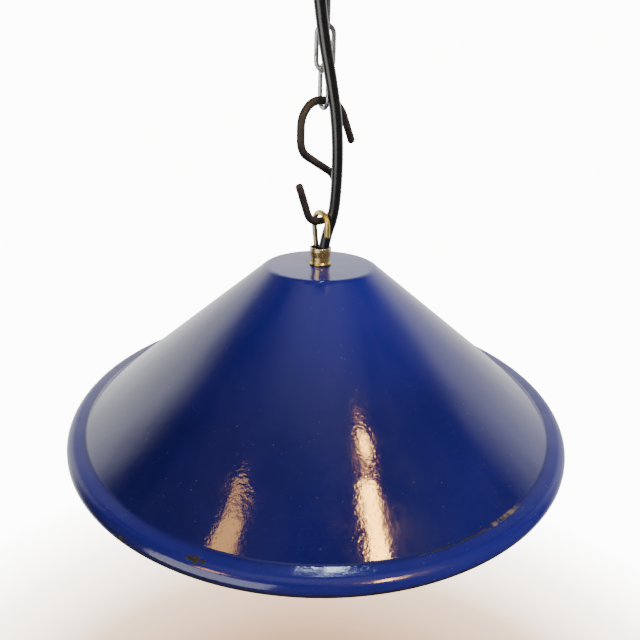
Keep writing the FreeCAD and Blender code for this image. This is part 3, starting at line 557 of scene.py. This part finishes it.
def make_shade():
    """One spun sheet: flat top, cone, tight crease and rolled brim, white where it faces down or in."""
    crease = SHADE_LOW + CREASE_RISE
    run_in, run_z = CREASE_RADIUS - FLAT_RADIUS, SHADE_TOP - crease
    inset = SHEET * sheet_slope(run_z, run_in)
    inner = RIM_RADIUS - SHEET
    section = [
        (NIPPLE_HOLE, SHADE_TOP, 0),
        (0.020, SHADE_TOP, 0),
        (FLAT_RADIUS, SHADE_TOP, 0.008),
    ]
    section += [(FLAT_RADIUS + run_in * t, SHADE_TOP - run_z * t, 0) for t in (0.2, 0.4, 0.6, 0.8)]
    section += [
        (CREASE_RADIUS, crease, 0.0025),
        (RIM_RADIUS, crease, 0.006),
        (RIM_RADIUS, SHADE_LOW, 0.0004),
        (inner, SHADE_LOW, 0.0004),
        (inner, crease - SHEET, 0.0048),
        (CREASE_RADIUS - inset, crease - SHEET, 0.0037),
    ]
    section += [
        (FLAT_RADIUS - inset + run_in * t, SHADE_TOP - SHEET - run_z * t, 0) for t in (0.8, 0.6, 0.4, 0.2)
    ]
    section += [(FLAT_RADIUS - inset, SHADE_TOP - SHEET, 0.0068), (NIPPLE_HOLE, SHADE_TOP - SHEET, 0)]
    shade = turned("enamel_shade", BLUE, section)
    shade.data.materials.append(WHITE)
    for face in shade.data.polygons:
        outwards = Vector((face.center.x, face.center.y, 0)).normalized() + Vector((0, 0, 1))
        if face.normal.dot(outwards) < -0.05:
            face.material_index = 1
    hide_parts("shade")
    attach(shade, "lamp")


def make_ferrule():
    """The waisted ferrule with its bevelled lip, an open mouth and a step where the hook stands."""
    low, high = SHADE_TOP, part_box("ferrule")[1][2]
    section = [
        (0.00505, low, 0),
        (0.00735, low, 0.0002),
        (0.00735, low + 0.0013, 0.0005),
        (0.0066, low + 0.0023, 0.0006),
        (0.0066, low + 0.0058, 0.002),
        (0.0073, high - 0.0026, 0.0008),
        (0.0073, high - 0.0005, 0.0003),
        (0.0069, high, 0.00025),
        (0.0065, high, 0.0002),
        (0.0065, high - 0.0015, 0.0003),
        (0.00635, low + 0.0065, 0),
        (0.00505, low + 0.0065, 0),
    ]
    ferrule = turned("brass_ferrule", FERRULE, section)
    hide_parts("ferrule")
    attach(ferrule, "lamp")


def make_canopy():
    """The pressed canopy with a rolled mouth."""
    low, wall, out, mouth = -0.052, 0.001, 0.060, 0.030
    section = [
        (out, 0, 0.0003),
        (out, low, 0.024),
        (mouth + 0.001, low, 0.0008),
        (mouth, low + 0.0006, 0.0004),
        (mouth, low + 0.0022, 0.0004),
        (mouth + 0.0008, low + 0.0022, 0.0002),
        (mouth + 0.001, low + wall, 0.0003),
        (out - wall, low + wall, 0.023),
        (out - wall, 0, 0.0003),
    ]
    canopy = turned("ceiling_canopy", PAINT, section)
    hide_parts("canopy")
    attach(canopy, "ceiling")


# ---------------------------------------------------------------- rods and chain


def rod_tree():
    """A round rod along a line, with its corners rounded by 'bend' and its ends a little rounded off."""
    tree = geometry_tree("bent_rod", Rod=0.0025, Waver=0.0004)
    bend = tree.add("InputNamedAttribute", {"data_type": "FLOAT"}, Name="bend").outputs["Attribute"]
    line = tree.add("MeshToCurve", Mesh=tree.start["Geometry"])
    rounded = tree.add("FilletCurve", {"mode": "POLY"}, Curve=line, Count=16, Radius=bend)
    tree.feed(rounded, "Limit Radius", True)
    even = tree.add("ResampleCurve", {"mode": "LENGTH"}, Curve=rounded, Length=0.00055)
    # A hand-bent rod isn't quite true.
    drift = tree.add("ShaderNodeTexNoise", Scale=70.0, Detail=1.0).outputs["Color"]
    centred = tree.add("ShaderNodeVectorMath", {"operation": "SUBTRACT"}, in0=drift, in1=(0.5, 0.5, 0.5))
    offset = tree.add("ShaderNodeVectorMath", {"operation": "SCALE"}, in0=centred)
    tree.feed(offset, "Scale", tree.start["Waver"])
    wavy = tree.add("SetPosition", Geometry=even, Offset=offset)
    along = tree.add("SplineParameter").outputs["Length"]
    whole = tree.add("SplineLength").outputs["Length"]
    from_end = tree.math("MINIMUM", along, tree.math("SUBTRACT", whole, along))
    share = tree.math("MULTIPLY", from_end, 1 / 0.0011, clamp=True)
    taper = tree.math("ADD", 0.74, tree.math("MULTIPLY", tree.math("SQRT", share), 0.26))
    ring = tree.add("CurvePrimitiveCircle", Resolution=28, Radius=tree.start["Rod"])
    rod = tree.add("CurveToMesh", Curve=wavy, Profile_Curve=ring, Scale=taper, Fill_Caps=True)
    return close_tree(tree, rod)


def link_tree():
    """A welded oval link on the origin, in XZ, with a slight swelling at the weld."""
    tree = geometry_tree(
        "chain_link", Wire=LINK_WIRE, Length=LINK_LENGTH, Width=LINK_WIDTH, Turn=0.0, Height=0.0
    )
    wire, width, length = (tree.start[key] for key in ("Wire", "Width", "Length"))
    across, along = tree.math("SUBTRACT", width, wire), tree.math("SUBTRACT", length, wire)
    oblong = tree.add("CurvePrimitiveQuadrilateral", Width=across, Height=along)
    corner = tree.math("MULTIPLY", across, 0.4999)
    oval = tree.add("FilletCurve", {"mode": "POLY"}, Curve=oblong, Count=20, Radius=corner)
    even = tree.add("ResampleCurve", {"mode": "LENGTH"}, Curve=oval, Length=0.0005)
    spot = tree.add("ShaderNodeSeparateXYZ", Vector=tree.add("InputPosition").outputs[0]).outputs
    squared = tree.math("POWER", tree.math("MULTIPLY", tree.math("ADD", spot[1], 0.001), 900.0), 2.0)
    weld = tree.math("DIVIDE", tree.math("GREATER_THAN", spot[0], 0.0), tree.math("ADD", squared, 1.0))
    swell = tree.math("ADD", 1.0, tree.math("MULTIPLY", weld, 0.09))
    ring = tree.add("CurvePrimitiveCircle", Resolution=24, Radius=tree.math("MULTIPLY", wire, 0.5))
    bar = tree.add("CurveToMesh", Curve=even, Profile_Curve=ring, Scale=swell)
    upright = tree.add("Transform", Geometry=bar, Rotation=(math.pi / 2, 0, 0))
    turn = tree.add("ShaderNodeCombineXYZ", Z=tree.start["Turn"])
    height = tree.add("ShaderNodeCombineXYZ", Z=tree.start["Height"])
    placed = tree.add("Transform", Geometry=upright, Translation=height, Rotation=turn)
    return close_tree(tree, placed)


def make_chain():
    """The four zinc links, each turned its own way and riding on its own body."""
    tree = link_tree()
    for number, turn in LINK_TURNS.items():
        node = f"chain_link_{number}"
        low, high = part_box(node)
        link = tidy(
            grow(f"zinc_link_{number}", tree, ZINC, Turn=math.radians(turn), Height=(low[2] + high[2]) / 2)
        )
        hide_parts(node)
        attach(link, f"link_{number}")


ROD = rod_tree()


def bent_rod(name, node, body, material, diameter, centre, turn, corners):
    """A rod bent in an upright plane through centre, from (across, height, bend) corners."""
    spin = Matrix.Rotation(math.radians(turn), 3, "Z")
    points = [Vector(centre) + spin @ Vector((across, 0, height)) for across, height, _ in corners]
    rod = tidy(grow(name, ROD, material, points, bends=[bend for *_, bend in corners], Rod=diameter / 2), 50)
    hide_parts(node)
    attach(rod, body)


def make_hooks():
    """The iron S-hook, the brass hook in the ferrule and the hook in the ceiling."""
    bent_rod(
        "iron_s_hook", "s_hook", "s_hook", IRON, 0.005, (0, 0, -0.1252), 46,
        [
            (0.028, -0.0254, 0), (0.014, 0, 0.018), (-0.0195, 0, 0.016), (-0.0195, -0.0296, 0.010),
            (0.0135, -0.0459, 0.012), (0.0115, -0.074, 0.0105), (-0.0104, -0.074, 0.0105),
            (-0.021, -0.0489, 0),
        ],
    )
    bent_rod(
        "brass_loop_hook", "brass_hook", "lamp", LOOP, 0.0035, (-0.00025, -0.0021, -0.1935), -61.7,
        [
            (-0.006, -0.0294, 0), (-0.006, -0.023, 0.015), (-0.0089, -0.010, 0.012), (-0.0089, 0, 0.0082),
            (0.0089, 0, 0.0082), (0.0092, -0.0151, 0),
        ],
    )
    bent_rod(
        "ceiling_open_hook", "ceiling_hook", "ceiling", ZINC, 0.0045, (0, 0, -0.04635), 105,
        [
            (-0.009, 0.013, 0), (-0.009, 0, 0.0085), (0.009, 0, 0.0085), (0.009, 0.020, 0.006),
            (0, 0.029, 0.006), (0, 0.0455, 0),
        ],
    )


# ---------------------------------------------------------------- flex


def flex_line():
    """Points along the flex, read from its smooth spline."""
    line = bpy.data.curves.new("flex_line", "CURVE")
    line.dimensions = "3D"
    spline = line.splines.new("NURBS")
    spline.points.add(len(FLEX_ROUTE) - 1)
    for point, spot in zip(spline.points, FLEX_ROUTE):
        point.co = (*spot, 1)
    spline.order_u = 3
    spline.use_endpoint_u = True
    spline.resolution_u = 12
    holder = show("flex_line", line)
    bpy.context.view_layer.update()
    mesh = bpy.data.meshes.new_from_object(holder.evaluated_get(bpy.context.evaluated_depsgraph_get()))
    points = [vertex.co.copy() for vertex in mesh.vertices]
    bpy.data.objects.remove(holder)
    bpy.data.meshes.remove(mesh)
    return points


def tube_tree():
    """A round tube along a line, closed at both ends."""
    tree = geometry_tree("sheathed_flex", Radius=FLEX_RADIUS)
    line = tree.add("MeshToCurve", Mesh=tree.start["Geometry"])
    even = tree.add("ResampleCurve", {"mode": "LENGTH"}, Curve=line, Length=0.0012)
    ring = tree.add("CurvePrimitiveCircle", Resolution=40, Radius=tree.start["Radius"])
    return close_tree(tree, tree.add("CurveToMesh", Curve=even, Profile_Curve=ring, Fill_Caps=True))


# The flex in lengths, because each can bend across one joint only. For each length: its lower and upper
# cut, the bodies below and above, and the heights between which it turns from one to the other.
FLEX_LENGTHS = [
    ("black_flex", -1.0, -0.1650, "lamp", "s_hook", (-0.212, -0.176)),
    ("black_flex_low", -0.1650, -0.1195, "s_hook", "link_1", (-0.146, -0.121)),
    ("black_flex_high", -0.1195, -0.0750, "link_1", "link_2", (-0.117, -0.094)),
    ("black_flex_top", -0.0750, 1.0, "link_2", "link_3", (-0.074, -0.056)),
]


def make_flex():
    """The flex, as lengths that lie end to end on one smooth line."""
    points = flex_line()
    tree = tube_tree()
    for name, low, high, below, above, (start, end) in FLEX_LENGTHS:
        first = min(range(len(points)), key=lambda number: abs(points[number].z - low))
        last = min(range(len(points)), key=lambda number: abs(points[number].z - high))
        path = points[first:last + 1]
        piece = tidy(grow(name, tree, PVC, path), 60)
        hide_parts("flex")
        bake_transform(piece)


# ---------------------------------------------------------------- lampholder and ceiling fitting


def thread_tree():
    """A thin brass shell with a rolled thread, open at both ends, on the Z axis."""
    tree = geometry_tree("threaded_shell", Radius=0.0136, Depth=0.0004, Pitch=0.00362, Height=0.022, Top=0.0)
    height, top = tree.start["Height"], tree.start["Top"]
    tube = tree.add(
        "MeshCylinder", {"fill_type": "NONE"},
        Vertices=96, Side_Segments=110, Radius=tree.start["Radius"], Depth=height,
    )
    spot = tree.add("ShaderNodeSeparateXYZ", Vector=tree.add("InputPosition").outputs[0]).outputs
    turn = tree.math("ARCTAN2", spot[1], spot[0])
    rise = tree.math("MULTIPLY", tree.math("DIVIDE", spot[2], tree.start["Pitch"]), math.tau)
    wave = tree.math("SINE", tree.math("ADD", rise, turn))
    push = tree.math("MULTIPLY", tree.math("MULTIPLY", wave, tree.start["Depth"]), 0.5)
    radial = tree.add("ShaderNodeCombineXYZ", X=spot[0], Y=spot[1])
    outwards = tree.add("ShaderNodeVectorMath", {"operation": "NORMALIZE"}, in0=radial)
    offset = tree.add("ShaderNodeVectorMath", {"operation": "SCALE"}, in0=outwards)
    tree.feed(offset, "Scale", push)
    rolled = tree.add("SetPosition", Geometry=tube.outputs["Mesh"], Offset=offset)
    middle = tree.math("SUBTRACT", top, tree.math("MULTIPLY", height, 0.5))
    lift = tree.add("ShaderNodeCombineXYZ", Z=middle)
    return close_tree(tree, tree.add("Transform", Geometry=rolled, Translation=lift))


def make_screw_shell():
    """The lampholder's threaded brass shell."""
    low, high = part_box("screw_shell")
    shell = grow("threaded_socket_shell", thread_tree(), BRIGHT_BRASS, Height=high[2] - low[2], Top=high[2])
    shell.data.shade_smooth()
    wall = shell.modifiers.new("wall", "SOLIDIFY")
    wall.thickness = 0.0003
    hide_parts("screw_shell")
    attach(shell, "lamp")


CARRIED_OVER = {
    STEEL: [
        "ceiling_bracket", "hook_nut", "nipple", "shade_washer", "terminal_screws", "grip_screws",
        "wire_screws",
    ],
    BRIGHT_BRASS: ["canopy_screws", "lock_nut", "centre_contact", "contact_post", "wire_terminals"],
    PORCELAIN: ["holder_cap", "holder_body", "contact_base"],
    CREAM: ["terminal_block", "cord_grip"],
    BROWN_CORE: ["live_core"],
    BLUE_CORE: ["neutral_core"],
}


def paint_carried_over():
    """Gives each CAD node that stays its own finish."""
    for material, names in CARRIED_OVER.items():
        for name in names:
            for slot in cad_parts[name].material_slots:
                slot.material = material


make_shade()
make_ferrule()
make_canopy()
make_chain()
make_hooks()
make_flex()
make_screw_shell()
paint_carried_over()


# ---------------------------------------------------------------- room, light and camera


# How many times brighter the walls and floor look than the light that the walls give.
SHOWN = 13.0


def room_light():
    """A bright wall ahead, a pale glow straight above, and a dim room behind with faint shapes in it."""
    world = bpy.data.worlds.new("room")
    bpy.context.scene.world = world
    world.use_nodes = True
    tree = Tree(world.node_tree, "ShaderNode")
    back = next(node for node in world.node_tree.nodes if node.type == "BACKGROUND")
    way = tree.add("ShaderNodeSeparateXYZ", Vector=tree.add("TexCoord").outputs["Generated"]).outputs
    forward = step(tree, way[1], 0.08, 0.48)
    below = step(tree, way[2], 0.36, 0.74, 1.0, 0.0)
    leftward = step(tree, way[0], -0.9, 0.9, 1.0, 0.68)
    ahead = tree.math("MULTIPLY", tree.math("MULTIPLY", forward, below), leftward)
    above = step(tree, way[2], 0.84, 1.0, 0.0, 0.26)
    backward = step(tree, way[1], -0.2, 0.1, 0.035, 0.0)
    behind = tree.math("MULTIPLY", backward, step(tree, way[2], 0.25, 0.60, 1.0, 0.0))
    wall = tree.math("ADD", tree.math("ADD", ahead, above), behind, clamp=True)
    # Dim shapes in the dark part of the room.
    shapes = noise(tree, tree.add("TexCoord").outputs["Generated"], 3.2, 3.0, 0.55, 0.8)
    gloom = ramp(tree, shapes, (0.40, (0.008, 0.009, 0.013)), (0.62, (0.115, 0.095, 0.105)))
    colour = mix(tree, wall, gloom, (1.62, 1.62, 1.66))
    # The walls themselves are shown brighter than the light they give, as a lit studio wall looks.
    seen = tree.add("LightPath").outputs["Is Camera Ray"]
    tree.feed(back, "Color", mix(tree, seen, colour, (0.97, 0.97, 0.955)))
    tree.feed(back, "Strength", tree.math("ADD", 1.0, tree.math("MULTIPLY", seen, SHOWN - 1.0)))


def window(name, spot, turn, size, power, colour):
    """A rectangle of light that shows only as a reflection in gloss. It faces down, or else the lamp."""
    light = soft_light(name, spot, (0, 0, -0.2), size, power, colour)
    if turn is not None:
        light.rotation_euler = (0, 0, math.radians(turn))
    light.visible_glossy = True
    light.visible_diffuse = False


def soft_light(name, spot, aim, size, power, colour):
    """A large soft light that isn't seen, directly or in gloss."""
    data = bpy.data.lights.new(name, "AREA")
    data.shape = "RECTANGLE"
    data.size, data.size_y = size
    data.energy = power
    data.color = colour
    light = show(name, data)
    light.location = spot
    light.rotation_euler = (Vector(aim) - Vector(spot)).to_track_quat("-Z", "Y").to_euler()
    light.visible_camera = False
    light.visible_glossy = False
    return light


def floor_with_painted_shadow():
    """A wide pale floor with a painted shadow, dark and warm below the lamp, that meets the wall's tone far
    away.
    """
    material, tree, shader, place = finish("floor_with_painted_shadow")
    cloud = tree.math("MULTIPLY", noise(tree, place, 0.8, 2.0), 0.10)
    # The dark warm disc below the lamp is a painted shadow; farther out the tone rises to the wall's.
    tone = ramp(
        tree, tree.math("ADD", tree.math("MULTIPLY", from_axis(tree, place), 0.60), cloud),
        (0.33, (0.080, 0.042, 0.021)), (0.47, (0.19, 0.135, 0.095)),
        (0.60, (0.48, 0.43, 0.38)), (0.74, (0.97, 0.97, 0.955)),
    )
    tree.feed(shader, "Base Color", (0.02, 0.02, 0.02, 1))
    tree.feed(shader, "Emission Color", tone)
    shader.inputs["Emission Strength"].default_value = SHOWN
    shader.inputs["Roughness"].default_value = 1.0
    shader.inputs["Specular IOR Level"].default_value = 0.0
    mesh = bpy.data.meshes.new("floor_with_painted_shadow")
    half, low = 60.0, -1.25
    corners = [(-half, -half, low), (half, -half, low), (half, half, low), (-half, half, low)]
    mesh.from_pydata(corners, [], [(0, 1, 2, 3)])
    mesh.materials.append(material)
    floor = show("floor_with_painted_shadow", mesh)
    # It is seen at its full brightness, and lights nothing itself.
    floor.visible_diffuse = False
    floor.visible_glossy = False


def viewer():
    """A 30 mm lens a little above the shade's top, tipped 22.5 degrees down and a little off level."""
    data = bpy.data.cameras.new("viewer")
    data.lens = 30
    data.sensor_width = 36
    data.clip_start = 0.01
    camera = show("viewer", data)
    tilt = Matrix.Rotation(math.radians(90 - 22.5), 4, "X")
    roll = Matrix.Rotation(math.radians(1.3), 4, "Z")
    yaw = Matrix.Rotation(math.radians(-0.6), 4, "Z")
    camera.matrix_world = Matrix.Translation((-0.003, -0.3535, -0.1245)) @ yaw @ tilt @ roll
    bpy.context.scene.camera = camera


room_light()
floor_with_painted_shadow()
# Each light's place, turn or aim, width and length, power and colour.
window("window_right", (0.64, -1.02, 1.10), 12, (0.17, 0.44), 24, (1.0, 0.50, 0.10))
window("window_pane", (0.575, -0.665, 1.10), 0, (0.13, 0.065), 2.6, (1.0, 0.50, 0.10))
window("window_left", (-1.06, -1.03, 1.10), -46, (0.25, 0.62), 6.0, (1.0, 0.50, 0.08))
window("skylight", (0.066, 1.12, 1.10), 0, (0.12, 0.30), 4.4, (0.72, 0.86, 1.0))
window("side_window", (-0.95, -1.25, 0.0), None, (1.30, 1.40), 18, (1.0, 0.98, 0.95))
soft_light("soft_ahead", (1.05, -0.95, 0.9), (0, 0, -0.25), (1.3, 1.0), 22, (1.0, 0.98, 0.96))
soft_light("soft_above", (0.34, -0.42, 0.40), (0, 0, -0.25), (0.5, 0.5), 3.2, (1.0, 0.99, 0.98))
soft_light("soft_below", (0, 0, -1.15), (0, 0, -0.3), (1.4, 1.4), 6, (1.0, 0.97, 0.93))
viewer()
